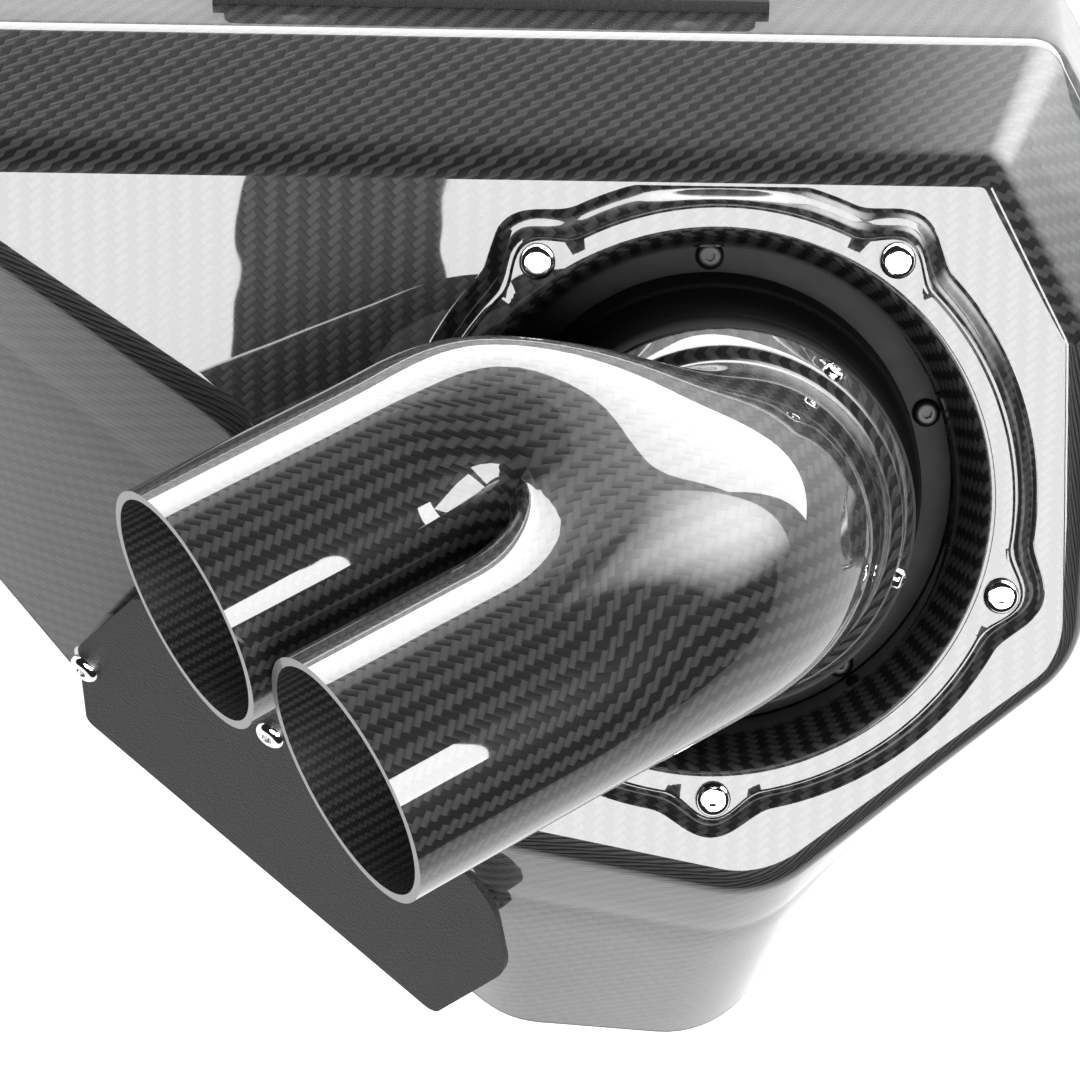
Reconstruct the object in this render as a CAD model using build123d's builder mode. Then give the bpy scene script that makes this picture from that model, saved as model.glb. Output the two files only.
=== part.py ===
from build123d import *
from math import cos, radians, sin, tan
import os

# Exhaust muffler, millimetres. Origin: centre of the base under the outlet ring, +Z up through the ring.
# Three chambers in a carbon shell: the inlet enters from +X, a perforated core carries the gas to the
# far end, and it comes back through a riser and the twin outlet elbow on top.

# Shell
body_height = 110.0
body_length = 400.0
body_width = 324.0
body_right = 150.0
body_back = 138.0
shoulder_height = 80.0
back_lean = 18.0
edge_radius = 5.0
wall = 2.6
side_inset = 3.6
rim_width = 14.0
rim_height = 7.0
base_thickness = 3.0
gasket_thickness = 1.0
base_screw_count = 14
clearance = 0.25

# Screws: head radius, head height, shank radius, shank length, socket across its flats
m3_size = (2.85, 1.65, 1.4, 5.0, 2.0)
m4_size = (3.8, 2.2, 1.9, 7.0, 2.5)
m5_size = (4.75, 2.75, 2.4, 8.0, 3.0)
m3_tapped = 1.45
m3_hole = 1.55
m4_hole = 1.95
m5_tapped = 2.5
m5_hole = 2.6
flat_head_radius = 5.0
insert_radius = 3.45
insert_length = 6.8
socket_share = 0.6

# Outlet ring and its raised pad
ring_screw_pcd = 158.0
ring_screw_count = 5
ring_screw_phase = 55.0
ring_inner_radius = 72.0
ring_outer_radius = 78.5
lobe_radius = 6.0
ring_thickness = 2.0
pad_height = 5.5
pad_slope = 7.0
pad_lap = 1.5
lobe_fillet = 9.0
lip = 3.0
funnel_radius = 65.3
funnel_depth = 19.0
trough_depth = 38.0
mould_wall = 2.4

# Neck, riser and elbow
neck_height = 20.0
neck_radius = 50.0
neck_foot_radius = 56.0
neck_screw_radius = 61.6
neck_flange = 3.0
spigot_out = 44.0
riser_radius = 38.1
riser_wall = 1.5
tube_radius = 31.75
tube_wall = 2.25
duct_radius = 40.5
skirt_foot_radius = 49.4
skirt_top_radius = 45.6
skirt_height = 8.0
skirt_cut = 40.0
outlet_direction = Vector(-0.828, -0.381, 0.410).normalized()
bend_corner = 80.0
near_outlet_reach = 111.0
far_outlet_end = Vector(-132.0, -12.0, 83.5)
far_bore_length = 60.0
bore_step = 0.1
overshoot = 5.0
knuckle_side = (-5.0, 4.0)
knuckle_rise = 37.0
far_outlet_length = 82.0
knuckle_radius = 38.0

# Inlet
inlet_y = 8.0
inlet_height = 52.0
inlet_bore_radius = 30.4
inlet_wall = 1.5
inlet_out = 58.0
inlet_length = 108.0
boss_radius = 45.0
boss_face_x = 152.0
inlet_flange_thickness = 4.0
inlet_screw_pcd = 77.0

# Inner parts
core_radius = 24.0
core_y = 74.0
core_height = 44.0
packing_radius = 33.0
front_baffle_x = 74.0
rear_baffle_x = -130.0
baffle_thickness = 2.0
port_radius = 9.0
port_heights = (28.0, 52.0)
core_rows = 9
core_hole_radius = 2.5
return_hole_y = 20.0
return_hole_pitch = 34.0
return_hole_radius = 12.0

# Retaining springs
hook_radius = 5.0
hook_thickness = 3.0
hook_reach = 8.5
hook_from_end = 20.0
hook_hole_radius = 2.3
spring_cap = 1.5
spring_ring_radius = 4.0
spring_wire = 1.1
spring_coil_radius = 5.5
spring_coil_length = 42.0

# Mounting bracket, on the back wall
bracket_x = -60.0
bracket_length = 150.0
bracket_foot_z = 18.0
bracket_leg = 42.0
bracket_reach = 34.0
bracket_thickness = 3.0
bracket_screw_spacing = 60.0
bracket_screw_radius = 2.9
grommet_spacing = 110.0
grommet_radius = 12.0
grommet_height = 12.0
grommet_groove = 3.0
bracket_screw_length = 14.0
bracket_head_radius = 5.25
bracket_head_height = 3.3
bracket_screw_socket = 4.0
bracket_nut_size = 5.0
sleeve_radius = 6.0
sleeve_bore_radius = 4.25

# Heat shield, a flat plate held off the front-left wall by three standoffs
shield_thickness = 2.0
shield_slope = 52.0
shield_run = Vector(0.715, -0.70, 0).normalized()
shield_origin = (-121.2, -140.5, 13.3)
shield_corners = [(-77, 4), (54, 24), (50, 78), (28, 104), (-40, 104), (-98, 88), (-96, 36)]
shield_radii = [4, 4, 22, 24, 10, 8, 4]
shield_holes = [(-90, 31), (-45, 84), (2, 82)]
standoff_radius = 6.0
standoff_length = 45.0

os.makedirs("parts", exist_ok=True)

# Levels that follow from the sizes above
body_left = body_right - body_length
body_front = body_back - body_width
shell_foot = base_thickness + gasket_thickness
pad_top = body_height + pad_height
gasket_top = pad_top + 0.5
ring_top = gasket_top + ring_thickness
trough_floor = ring_top - trough_depth
neck_top = ring_top + neck_height
spigot_radius = riser_radius + clearance

base_corners = [
    (body_right, 52), (98, body_back), (body_left + 40, body_back), (body_left, body_back - 36),
    (body_left + 10, -3), (-176, -82), (-50, body_front + 4), (11, body_front), (130, -16),
]
base_radii = [20, 16, 24, 26, 40, 40, 30, 30, 30]
face_corners = [
    (94.5, 44), (71, 88), (body_left + 52, 88), (body_left + 26, 76), (body_left + 62, 62),
    (-126, 20), (-62, -92), (17, -108), (98, -44),
]
face_radii = [8, 7, 12, 8, 20, 40, 25, 30, 25]
shoulder_share = shoulder_height / body_height


def between(low, high, share):
    return low + (high - low) * share


def blend(low_corners, high_corners, share):
    return [(between(a[0], b[0], share), between(a[1], b[1], share))
            for a, b in zip(low_corners, high_corners)]


# The back and end walls stand steeper than the front ones, so they meet the face in a chamfer
shoulder_corners = [
    (body_right - 20, 50), (90, body_back - back_lean), (body_left + 44, body_back - back_lean),
    (body_left + 12, 94),
] + blend(base_corners, face_corners, shoulder_share)[4:]
shoulder_radii = [14, 12, 18, 16] + [between(a, b, shoulder_share) for a, b in
                                     zip(base_radii[4:], face_radii[4:])]


def hull_section(height, inset):
    """Sketch of the shell's outline at a height, drawn in by the inset."""
    if height <= shoulder_height:
        share = height / shoulder_height
        corners = blend(base_corners, shoulder_corners, share)
        radii = [between(a, b, share) for a, b in zip(base_radii, shoulder_radii)]
    else:
        share = (height - shoulder_height) / (body_height - shoulder_height)
        corners = blend(shoulder_corners, face_corners, share)
        radii = [between(a, b, share) for a, b in zip(shoulder_radii, face_radii)]
    with BuildSketch(Plane.XY.offset(height)) as section:
        with BuildLine():
            FilletPolyline(*corners, radius=radii, close=True)
        make_face()
        if inset:
            offset(amount=-inset)
    return section.sketch


def hull_solid(foot, top, inset, rounding):
    """Closed solid between two heights, its top edge rounded in steps."""
    steps = [(top - rounding * (1 - sin(radians(a))), inset + rounding * (1 - cos(radians(a))))
             for a in (0, 30, 60, 90)]
    with BuildPart() as hull:
        for height, draw_in in [(foot, inset), (shoulder_height, inset)] + steps:
            add(hull_section(height, draw_in))
        loft(ruled=True)
    return hull.part


def lobed_section(height, growth):
    """Round flange outline with one lobe at each ring screw."""
    with BuildSketch(Plane.XY.offset(height)) as section:
        Circle(ring_outer_radius + growth)
        with PolarLocations(ring_screw_pcd / 2, ring_screw_count, ring_screw_phase):
            Circle(lobe_radius + growth)
        fillet(section.vertices(), lobe_fillet)
    return section.sketch


def turned(points):
    """Solid of revolution about Z from (radius, height) corners."""
    with BuildPart() as body:
        with BuildSketch(Plane.XZ):
            with BuildLine():
                Polyline(*points, close=True)
            make_face()
        revolve(axis=Axis.Z)
    return body.part


def button_screw(head_radius, head_height, shank_radius, shank_length, socket):
    """Button head screw, its seat at the origin and its shank down -Z."""
    with BuildPart() as screw:
        Cylinder(head_radius, head_height, align=(Align.CENTER, Align.CENTER, Align.MIN))
        fillet(screw.edges().group_by(Axis.Z)[-1], head_height * 0.8)
        with BuildSketch(Plane.XY.offset(head_height)):
            RegularPolygon(socket / 2, 6, major_radius=False)
        extrude(amount=-head_height * socket_share, mode=Mode.SUBTRACT)
        Cylinder(shank_radius, shank_length, align=(Align.CENTER, Align.CENTER, Align.MAX))
    return screw.part


def circle_loft(stations, side):
    """Round duct through (centre, direction, radius) stations, its seam kept on one side."""
    with BuildPart() as duct:
        for centre, direction, radius in stations:
            heading = direction.normalized()
            across = side - heading * side.dot(heading)
            with BuildSketch(Plane(origin=centre, x_dir=across, z_dir=heading)):
                Circle(radius)
        loft()
    return duct.part


m3_button = button_screw(*m3_size)
m4_button = button_screw(*m4_size)
m5_button = button_screw(*m5_size)

ring_places = PolarLocations(ring_screw_pcd / 2, ring_screw_count, ring_screw_phase).local_locations
hull_outer = hull_solid(shell_foot, body_height, 0, edge_radius)
hull_inner = hull_solid(shell_foot, body_height - wall, side_inset, edge_radius)

# Points evenly spaced along the middle of the shell's inner rim, for the base screws
rim_middle = hull_section(shell_foot, side_inset + rim_width / 2).wire()
base_points = [rim_middle @ ((n + 0.5) / base_screw_count) for n in range(base_screw_count)]

# Carbon shell: hollow hull, bottom rim, raised pad, outlet hole and inlet boss
with BuildPart() as rim_cutter:
    add(hull_section(shell_foot, side_inset + rim_width))
    extrude(amount=rim_height)
with BuildPart() as rim_block:
    add(hull_section(shell_foot, 1.0))
    extrude(amount=rim_height)
    add(rim_cutter.part, mode=Mode.SUBTRACT)
with BuildPart() as pad_block:
    add(lobed_section(body_height - wall - pad_lap, pad_slope))
    add(lobed_section(pad_top, 0.6))
    loft(ruled=True)

inlet_plane = Plane(origin=(boss_face_x, inlet_y, inlet_height), x_dir=(0, 1, 0), z_dir=(1, 0, 0))
inlet_screw_places = PolarLocations(inlet_screw_pcd / 2, 4, 45).local_locations

# The back wall leans in by the same amount up to the shoulder
back_slope = back_lean / shoulder_height
bracket_screw_z = bracket_foot_z + 0.62 * bracket_leg
back_normal = Vector(0, 1, back_slope).normalized()
bracket_plane = Plane(
    origin=(bracket_x, body_back - back_slope * bracket_screw_z + bracket_thickness, bracket_screw_z),
    x_dir=(1, 0, 0), z_dir=back_normal)
bracket_screw_xs = [-bracket_screw_spacing / 2, bracket_screw_spacing / 2]

with BuildPart() as body_shell:
    add(hull_outer)
    with Locations(inlet_plane):
        Cylinder(boss_radius, inlet_out + clearance, align=(Align.CENTER, Align.CENTER, Align.MAX))
    add(hull_inner, mode=Mode.SUBTRACT)
    add(rim_block.part)
    add(pad_block.part)
    Cylinder(ring_inner_radius + mould_wall + 0.6, 3 * body_height, mode=Mode.SUBTRACT)
    with Locations(*[(l.position.X, l.position.Y, pad_top) for l in ring_places]):
        Cylinder(insert_radius + 0.05, insert_length + 0.2,
                 align=(Align.CENTER, Align.CENTER, Align.MAX), mode=Mode.SUBTRACT)
    with Locations(inlet_plane):
        Cylinder(inlet_bore_radius + inlet_wall + 1.5, inlet_out + clearance,
                 align=(Align.CENTER, Align.CENTER, Align.MAX), mode=Mode.SUBTRACT)
        with Locations(*inlet_screw_places):
            Cylinder(m5_tapped, 12, align=(Align.CENTER, Align.CENTER, Align.MAX), mode=Mode.SUBTRACT)
    with Locations(*[(p.X, p.Y, shell_foot) for p in base_points]):
        Cylinder(m5_tapped, rim_height - 1.0,
                 align=(Align.CENTER, Align.CENTER, Align.MIN), mode=Mode.SUBTRACT)
    with Locations(*[bracket_plane * Location((x, 0, 0)) for x in bracket_screw_xs]):
        Cylinder(bracket_screw_radius + 0.2, 30, mode=Mode.SUBTRACT)
body_shell.part.label = "body_shell"
export_step(body_shell.part, "parts/body_shell.step")

# Flat base plate, countersunk from below, and its gasket
foot_outline = hull_section(shell_foot, 0)
with BuildPart() as base_plate:
    add(foot_outline.moved(Location((0, 0, -gasket_thickness))))
    extrude(amount=-base_thickness)
    with Locations(*[Plane(origin=(p.X, p.Y, 0), z_dir=(0, 0, -1)) for p in base_points]):
        CounterSinkHole(m5_hole, flat_head_radius, counter_sink_angle=90)
base_plate.part.label = "base_plate"
export_step(base_plate.part, "parts/base_plate.step")

with BuildPart() as base_gasket:
    add(foot_outline.moved(Location((0, 0, -gasket_thickness))))
    extrude(amount=gasket_thickness)
    with BuildPart(mode=Mode.PRIVATE) as gasket_window:
        add(hull_section(base_thickness, side_inset + rim_width))
        extrude(amount=gasket_thickness)
    add(gasket_window.part, mode=Mode.SUBTRACT)
    with Locations(*[(p.X, p.Y, base_thickness) for p in base_points]):
        Cylinder(m5_hole, 4 * gasket_thickness, mode=Mode.SUBTRACT)
base_gasket.part.label = "base_gasket"
export_step(base_gasket.part, "parts/base_gasket.step")

flat_rim = flat_head_radius - 0.2
shank = m5_size[2]
flat_tip = shell_foot + rim_height - 1.5
flat_screw = turned([
    (0, 0.1), (flat_rim, 0.1), (shank, 0.1 + flat_rim - shank), (shank, flat_tip), (0, flat_tip)])
with BuildPart() as base_screws:
    for p in base_points:
        with Locations((p.X, p.Y, 0)):
            add(flat_screw)
base_screws.part.label = "base_screws"
export_step(base_screws.part, "parts/base_screws.step")

# Lobed outlet ring: flange, rolled lip, funnel and the trough that the neck stands in
funnel_foot = ring_top - funnel_depth
lip_out = ring_inner_radius + mould_wall
trough_out = funnel_radius + mould_wall
with BuildPart() as outlet_ring:
    add(lobed_section(gasket_top, 0))
    extrude(amount=ring_thickness)
    Cylinder(ring_inner_radius + 1.0, 3 * body_height, mode=Mode.SUBTRACT)
    with BuildSketch(Plane.XZ):
        with BuildLine():
            Polyline(
                (ring_inner_radius + 1.2, ring_top), (ring_inner_radius, ring_top - 0.3),
                (ring_inner_radius - 1.3, ring_top - 1.4), (ring_inner_radius - 2.2, ring_top - lip),
                (funnel_radius, funnel_foot), (funnel_radius + 0.5, funnel_foot - 1.0),
                (funnel_radius + 0.5, trough_floor + mould_wall),
                (neck_foot_radius - 6.0, trough_floor + mould_wall), (neck_foot_radius - 6.0, trough_floor),
                (trough_out + 0.5, trough_floor), (trough_out + 0.5, funnel_foot - 1.0),
                (lip_out, gasket_top), (ring_inner_radius + 1.2, gasket_top), close=True)
        make_face()
    revolve(axis=Axis.Z)
    with PolarLocations(ring_screw_pcd / 2, ring_screw_count, ring_screw_phase):
        Cylinder(m5_hole, 3 * body_height, mode=Mode.SUBTRACT)
    with PolarLocations(neck_screw_radius, ring_screw_count, ring_screw_phase + 36):
        Cylinder(m4_hole, 3 * body_height, mode=Mode.SUBTRACT)
outlet_ring.part.label = "outlet_ring"
export_step(outlet_ring.part, "parts/outlet_ring.step")

with BuildPart() as ring_gasket:
    add(lobed_section(pad_top, 0))
    extrude(amount=gasket_top - pad_top)
    Cylinder(lip_out + 0.6, 3 * body_height, mode=Mode.SUBTRACT)
    with PolarLocations(ring_screw_pcd / 2, ring_screw_count, ring_screw_phase):
        Cylinder(m5_hole + 0.1, 3 * body_height, mode=Mode.SUBTRACT)
ring_gasket.part.label = "ring_gasket"
export_step(ring_gasket.part, "parts/ring_gasket.step")

with BuildPart() as ring_screws:
    for place in ring_places:
        with Locations((place.position.X, place.position.Y, ring_top)):
            add(m5_button)
ring_screws.part.label = "ring_screws"
export_step(ring_screws.part, "parts/ring_screws.step")

insert_bore = m5_size[2] + 0.05
insert_body = turned([
    (insert_bore, -insert_length), (insert_radius, -insert_length), (insert_radius, 0), (insert_bore, 0)])
with BuildPart() as ring_inserts:
    for place in ring_places:
        with Locations((place.position.X, place.position.Y, pad_top)):
            add(insert_body)
ring_inserts.part.label = "ring_inserts"
export_step(ring_inserts.part, "parts/ring_inserts.step")

# The elbow's skirt is a cone; its screws stand square to it
skirt_mid_radius = (skirt_foot_radius + skirt_top_radius) / 2
skirt_mid_height = neck_top + skirt_height / 2


def skirt_normal(turn):
    flare = skirt_foot_radius - skirt_top_radius
    return Vector(cos(turn) * skirt_height, sin(turn) * skirt_height, flare).normalized()


# Stepped neck that carries the elbow, standing in the trough
neck_base = trough_floor + mould_wall
spigot_top = neck_top + skirt_height - 1.0
neck_profile = [
    (neck_foot_radius - 5.0, neck_base), (funnel_radius + 0.2, neck_base),
    (funnel_radius + 0.2, neck_base + neck_flange), (neck_foot_radius + 1.2, neck_base + neck_flange),
    (neck_foot_radius, funnel_foot + 1.0), (neck_foot_radius - 1.0, funnel_foot + 2.0),
    (neck_radius + 0.6, ring_top - 0.6), (neck_radius, ring_top + 0.6), (neck_radius, neck_top),
    (spigot_out, neck_top), (spigot_out, spigot_top), (spigot_radius, spigot_top),
    (spigot_radius, ring_top - 1.0), (neck_radius - 3.6, ring_top - 1.0),
    (neck_foot_radius - 5.0, funnel_foot),
]
with BuildPart() as neck_collar:
    add(turned(neck_profile))
    with PolarLocations(neck_screw_radius, ring_screw_count, ring_screw_phase + 36):
        with Locations((0, 0, neck_base)):
            Cylinder(m4_hole, 12, mode=Mode.SUBTRACT)
    for n in range(ring_screw_count):
        turn = radians(ring_screw_phase + n * 360 / ring_screw_count)
        seat = Vector(cos(turn) * skirt_mid_radius, sin(turn) * skirt_mid_radius, skirt_mid_height)
        with Locations(Plane(origin=seat, z_dir=skirt_normal(turn))):
            Cylinder(m3_tapped, 14, mode=Mode.SUBTRACT)
neck_collar.part.label = "neck_collar"
export_step(neck_collar.part, "parts/neck_collar.step")

with BuildPart() as neck_screws:
    with PolarLocations(neck_screw_radius, ring_screw_count, ring_screw_phase + 36):
        with Locations((0, 0, neck_base + neck_flange)):
            add(m4_button)
neck_screws.part.label = "neck_screws"
export_step(neck_screws.part, "parts/neck_screws.step")

# Twin outlet elbow: one duct that parts into two straight round outlets
duct_foot = neck_top + skirt_height + 0.2
corner = Vector(0, 0, ring_top + bend_corner)
bend_angle = outlet_direction.get_angle(Vector(0, 0, 1))
bend_tangent = corner.Z - duct_foot
bend_radius = bend_tangent / tan(radians(bend_angle / 2))
flat_direction = Vector(outlet_direction.X, outlet_direction.Y, 0).normalized()
seam_side = Vector(-flat_direction.Y, flat_direction.X, 0)
near_end = corner + outlet_direction * near_outlet_reach
far_end = Vector(far_outlet_end.X, far_outlet_end.Y, far_outlet_end.Z + ring_top)
knuckle = far_end - outlet_direction * far_outlet_length
knuckle_target = Vector(*knuckle_side, duct_foot + knuckle_rise)


def near_stations(shrink):
    """Round sections of the near leg, up the bend to where its straight outlet starts."""
    stations = []
    for share in (0, 0.2, 0.4, 0.6, 0.8, 1):
        angle = radians(bend_angle * share)
        rise = Vector(0, 0, duct_foot + bend_radius * sin(angle))
        centre = rise + flat_direction * bend_radius * (1 - cos(angle))
        heading = flat_direction * sin(angle) + Vector(0, 0, cos(angle))
        ease = share * share * (3 - 2 * share)
        stations.append((centre, heading, between(duct_radius, tube_radius, ease) - shrink))
    return stations


def run(start, end, radius):
    """Straight round bar from one point to another."""
    along = end - start
    with BuildPart() as bar:
        with BuildSketch(Plane(origin=start, x_dir=seam_side, z_dir=along)):
            Circle(radius)
        extrude(amount=along.length)
    return bar.part


def near_leg(shrink, overrun):
    """The bend over the neck and its straight outlet."""
    bend_end = corner + outlet_direction * bend_tangent
    with BuildPart() as solid:
        add(circle_loft(near_stations(shrink), seam_side))
        add(run(bend_end, near_end + outlet_direction * overrun, tube_radius - shrink))
    return solid.part


def far_leg(shrink, overrun):
    """The lower, straighter leg: a round bar along a route that turns once, into the duct."""
    tip = far_end + outlet_direction * overrun
    with BuildPart() as solid:
        with BuildLine() as route:
            FilletPolyline(tip, knuckle, knuckle_target, radius=knuckle_radius)
        with BuildSketch(Plane(origin=tip, x_dir=seam_side, z_dir=-outlet_direction)):
            Circle(tube_radius - shrink)
        sweep(path=route.wires()[0])
    return solid.part


with BuildPart() as outlet_elbow:
    add(near_leg(0, 0))
    add(far_leg(0, 0))
    add(turned([
        (spigot_out + 0.15, neck_top), (skirt_foot_radius, neck_top),
        (skirt_top_radius, neck_top + skirt_height), (duct_radius + 1.5, duct_foot + 2.0),
        (10, duct_foot + 2.0), (10, spigot_top + 0.2), (spigot_out + 0.15, spigot_top + 0.2)]))
    add(near_leg(tube_wall, overshoot), mode=Mode.SUBTRACT)
    add(far_leg(tube_wall + bore_step, overshoot), mode=Mode.SUBTRACT)
    add(run(far_end - outlet_direction * far_bore_length, far_end + outlet_direction * overshoot,
            tube_radius - tube_wall), mode=Mode.SUBTRACT)
    with Locations((0, 0, duct_foot)):
        Cylinder(duct_radius - tube_wall - 0.2, 3, mode=Mode.SUBTRACT)
    with Locations((0, 0, spigot_top + 0.2)):
        Cylinder(spigot_out + 0.15, skirt_cut, align=(Align.CENTER, Align.CENTER, Align.MAX),
                 mode=Mode.SUBTRACT)
    with Locations((0, 0, neck_top)):
        Cylinder(neck_radius + 0.3, skirt_cut, align=(Align.CENTER, Align.CENTER, Align.MAX),
                 mode=Mode.SUBTRACT)
    for n in range(ring_screw_count):
        turn = radians(ring_screw_phase + n * 360 / ring_screw_count)
        seat = Vector(cos(turn) * skirt_mid_radius, sin(turn) * skirt_mid_radius, skirt_mid_height)
        with Locations(Plane(origin=seat, z_dir=skirt_normal(turn))):
            Cylinder(m3_hole, 9, mode=Mode.SUBTRACT)
outlet_elbow.part.label = "outlet_elbow"
export_step(outlet_elbow.part, "parts/outlet_elbow.step")

with BuildPart() as elbow_screws:
    for n in range(ring_screw_count):
        turn = radians(ring_screw_phase + n * 360 / ring_screw_count)
        seat = Vector(cos(turn) * skirt_mid_radius, sin(turn) * skirt_mid_radius, skirt_mid_height)
        with Locations(Plane(origin=seat, z_dir=skirt_normal(turn))):
            add(m3_button)
elbow_screws.part.label = "elbow_screws"
export_step(elbow_screws.part, "parts/elbow_screws.step")

# Riser: the steel tube from the middle chamber up into the neck, with gas ports near its foot
with BuildPart() as outlet_riser:
    with Locations((0, 0, base_thickness)):
        Cylinder(riser_radius, neck_top + 6 - base_thickness,
                 align=(Align.CENTER, Align.CENTER, Align.MIN))
        Cylinder(riser_radius - riser_wall, 2 * body_height,
                 align=(Align.CENTER, Align.CENTER, Align.MIN), mode=Mode.SUBTRACT)
    for port_height in port_heights:
        for n in range(4):
            with Locations(Plane(origin=(0, 0, port_height), x_dir=(0, 0, 1),
                                 z_dir=(cos(radians(45 * n)), sin(radians(45 * n)), 0))):
                Cylinder(port_radius, 2.5 * riser_radius, mode=Mode.SUBTRACT)
outlet_riser.part.label = "outlet_riser"
export_step(outlet_riser.part, "parts/outlet_riser.step")

# Baffles fill the shell's section and part it into three chambers
core_line = Plane(origin=(0, core_y, core_height), x_dir=(0, 1, 0), z_dir=(1, 0, 0))


def baffle(x):
    """Plate across the shell at one station, holed for the core."""
    with BuildPart() as plate:
        with Locations((x, body_back - body_width / 2, body_height / 2)):
            Box(baffle_thickness, 2 * body_width, 2 * body_height)
        add(hull_inner, mode=Mode.INTERSECT)
        add(body_shell.part, mode=Mode.SUBTRACT)
        with Locations(core_line):
            Cylinder(core_radius + 0.1, 4 * body_length, mode=Mode.SUBTRACT)
        with Locations(*[(p.X, p.Y, shell_foot) for p in base_points]):
            Cylinder(4.0, 4 * gasket_thickness + 8.0, mode=Mode.SUBTRACT)
    return plate.part


with BuildPart() as front_baffle:
    add(baffle(front_baffle_x))
front_baffle.part.label = "front_baffle"
export_step(front_baffle.part, "parts/front_baffle.step")

# The rear baffle also has a row of holes that let the gas back into the middle chamber
with BuildPart() as rear_baffle:
    add(baffle(rear_baffle_x))
    for n in range(3):
        with Locations(Plane(origin=(rear_baffle_x, return_hole_y - n * return_hole_pitch, core_height),
                             z_dir=(1, 0, 0))):
            Cylinder(return_hole_radius, 4 * baffle_thickness, mode=Mode.SUBTRACT)
rear_baffle.part.label = "rear_baffle"
export_step(rear_baffle.part, "parts/rear_baffle.step")

core_start = rear_baffle_x - 8
core_length = front_baffle_x + 8 - core_start
with BuildPart() as perforated_core:
    with Locations(Plane(origin=(core_start, core_y, core_height), x_dir=(0, 1, 0), z_dir=(1, 0, 0))):
        Cylinder(core_radius, core_length, align=(Align.CENTER, Align.CENTER, Align.MIN))
        Cylinder(core_radius - riser_wall, core_length, align=(Align.CENTER, Align.CENTER, Align.MIN),
                 mode=Mode.SUBTRACT)
    for row in range(core_rows):
        x = rear_baffle_x + (front_baffle_x - rear_baffle_x) * (row + 0.5) / core_rows
        for n in range(4):
            turn = radians(45 * n + 22.5 * (row % 2))
            with Locations(Plane(origin=(x, core_y, core_height), x_dir=(1, 0, 0),
                                 z_dir=(0, cos(turn), sin(turn)))):
                Cylinder(core_hole_radius, 2.5 * core_radius, mode=Mode.SUBTRACT)
perforated_core.part.label = "perforated_core"
export_step(perforated_core.part, "parts/perforated_core.step")

with BuildPart() as packing_wool:
    inner_face = rear_baffle_x + baffle_thickness / 2
    wool_length = front_baffle_x - rear_baffle_x - baffle_thickness
    with Locations(Plane(origin=(inner_face, core_y, core_height), x_dir=(0, 1, 0), z_dir=(1, 0, 0))):
        Cylinder(packing_radius, wool_length, align=(Align.CENTER, Align.CENTER, Align.MIN))
        Cylinder(core_radius, wool_length, align=(Align.CENTER, Align.CENTER, Align.MIN),
                 mode=Mode.SUBTRACT)
packing_wool.part.label = "packing_wool"
export_step(packing_wool.part, "parts/packing_wool.step")

# Inlet: gasket, flange and slip joint pipe, with a hook tab on either side for the retaining springs
inlet_outer = inlet_bore_radius + inlet_wall
inlet_end = boss_face_x + inlet_out
with BuildPart() as inlet_gasket:
    with Locations(inlet_plane):
        Cylinder(boss_radius - 0.5, gasket_thickness, align=(Align.CENTER, Align.CENTER, Align.MIN))
        Cylinder(inlet_outer + 1.5, 9, mode=Mode.SUBTRACT)
        with Locations(*inlet_screw_places):
            Cylinder(m5_hole, 9, mode=Mode.SUBTRACT)
inlet_gasket.part.label = "inlet_gasket"
export_step(inlet_gasket.part, "parts/inlet_gasket.step")

flange_plane = inlet_plane.offset(gasket_thickness)
with BuildPart() as inlet_flange:
    with Locations(flange_plane):
        Cylinder(boss_radius - 0.5, inlet_flange_thickness,
                 align=(Align.CENTER, Align.CENTER, Align.MIN))
    chamfer(inlet_flange.edges().group_by(Axis.X)[-1], 0.6)
    with Locations(flange_plane):
        Cylinder(inlet_outer + 0.05, 20, mode=Mode.SUBTRACT)
        with Locations(*inlet_screw_places):
            Cylinder(m5_hole, 20, mode=Mode.SUBTRACT)
inlet_flange.part.label = "inlet_flange"
export_step(inlet_flange.part, "parts/inlet_flange.step")

with BuildPart() as inlet_screws:
    with Locations(flange_plane.offset(inlet_flange_thickness)):
        with Locations(*inlet_screw_places):
            add(m5_button)
inlet_screws.part.label = "inlet_screws"
export_step(inlet_screws.part, "parts/inlet_screws.step")

with BuildPart() as inlet_pipe:
    with Locations(Plane(origin=(inlet_end, inlet_y, inlet_height), x_dir=(0, 1, 0), z_dir=(1, 0, 0))):
        Cylinder(inlet_outer, inlet_length, align=(Align.CENTER, Align.CENTER, Align.MAX))
        Cylinder(inlet_bore_radius, inlet_length, align=(Align.CENTER, Align.CENTER, Align.MAX),
                 mode=Mode.SUBTRACT)
inlet_pipe.part.label = "inlet_pipe"
export_step(inlet_pipe.part, "parts/inlet_pipe.step")

hook_x = inlet_end - hook_from_end


def hook_tab(side):
    """Round ended tab welded to the pipe, level, with a hole for the spring's ring."""
    hole_y = inlet_y + side * (inlet_outer + hook_reach)
    with BuildPart() as tab:
        with Locations((hook_x, hole_y - side * hook_reach / 2, inlet_height)):
            Box(2 * hook_radius, hook_reach, hook_thickness)
        with Locations((hook_x, hole_y, inlet_height)):
            Cylinder(hook_radius, hook_thickness)
            Cylinder(hook_hole_radius, 2 * hook_thickness, mode=Mode.SUBTRACT)
        with Locations(inlet_plane):
            Cylinder(inlet_outer, 400, mode=Mode.SUBTRACT)
    return tab.part


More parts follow.
